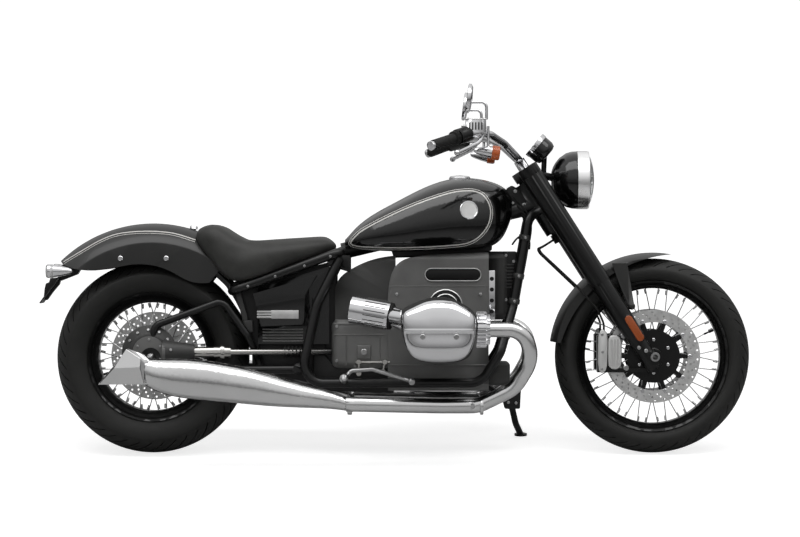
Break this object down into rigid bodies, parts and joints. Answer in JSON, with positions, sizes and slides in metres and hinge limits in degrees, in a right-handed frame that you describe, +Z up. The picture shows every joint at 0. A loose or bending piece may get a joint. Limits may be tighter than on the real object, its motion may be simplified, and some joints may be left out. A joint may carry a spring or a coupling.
{
  "type": "cruiser motorcycle",
  "caption": "Low cruiser motorcycle with a flat-twin engine, wire wheels, an exposed drive shaft and a teardrop tank, leaning on its side stand.",
  "frame": {"origin": "on the floor, under the middle of the whole machine's bounding box", "axes": "+X forward, +Y to the rider's left, +Z up; the machine leans towards +Y on its side stand"},
  "size_m": [2.4061, 1.0092, 1.2743],
  "materials": {
    "tyre_rubber": "matt",
    "black_rim": "satin",
    "spoke_steel": "polished",
    "disc_steel": "brushed",
    "black_alloy": "satin",
    "grey_alloy": "satin",
    "axle_steel": "satin",
    "gloss_black": "gloss",
    "black_tube": "satin",
    "chrome": "mirror bright",
    "lamp_glass": "clear",
    "grip_rubber": "matt",
    "black_plastic": "satin",
    "seat_leather": "satin",
    "foot_steel": "satin"
  },
  "bodies": {
    "frame": {"frame": "black_tube", "swingarm": "black_tube", "rear_axle": "axle_steel", "final_drive": "black_alloy", "drive_shaft": "axle_steel", "rear_caliper": "black_alloy", "engine_case": "black_alloy", "front_covers": "black_alloy", "cylinders": "black_alloy", "valve_covers": "chrome", "intakes": "chrome", "headers": "chrome", "mufflers": "chrome", "tank": "gloss_black", "fuel_cap": "chrome", "seat": "seat_leather", "rear_fender": "gloss_black", "tail_bracket": "black_plastic", "rear_indicators": "chrome", "side_panels": "black_plastic", "foot_controls": "foot_steel"},
    "steering": {"front_axle": "axle_steel", "fork_covers": "black_alloy", "fork_sliders": "grey_alloy", "yokes": "black_alloy", "lamp_shell": "gloss_black", "lamp_rim": "chrome", "lamp_lens": "lamp_glass", "dial": "chrome", "handlebar": "chrome", "grips": "grip_rubber", "controls": "black_plastic", "mirrors": "chrome", "front_indicators": "chrome", "front_fender": "gloss_black", "front_calipers": "black_alloy", "hoses": "grip_rubber"},
    "front_wheel": {"front_tyre": "tyre_rubber", "front_rim": "black_rim", "front_hub": "spoke_steel", "front_discs": "disc_steel", "front_carriers": "black_alloy"},
    "rear_wheel": {"rear_tyre": "tyre_rubber", "rear_rim": "black_rim", "rear_hub": "spoke_steel", "rear_disc": "disc_steel"},
    "stand": {"side_stand": "black_tube"}
  },
  "joints": [
    {"name": "steering", "type": "hinge", "parent": "frame", "child": "steering", "pos_m": [0.4845, -0.00619, 0.83363], "axis": [-0.5388, 0.1172, 0.8343], "range_deg": [-32, 32]},
    {"name": "front_wheel_spin", "type": "hinge", "parent": "steering", "child": "front_wheel", "pos_m": [0.87312, -0.07733, 0.32745], "axis": [0, 0.9903, -0.1392], "continuous": true},
    {"name": "rear_wheel_spin", "type": "hinge", "parent": "frame", "child": "rear_wheel", "pos_m": [-0.82088, -0.07776, 0.3244], "axis": [0, 0.9903, -0.1392], "continuous": true},
    {"name": "side_stand", "type": "hinge", "parent": "frame", "child": "stand", "pos_m": [0.39812, 0.06649, 0.14365], "axis": [0, 0.7986, 0.6018], "range_deg": [0, 86]}
  ]
}
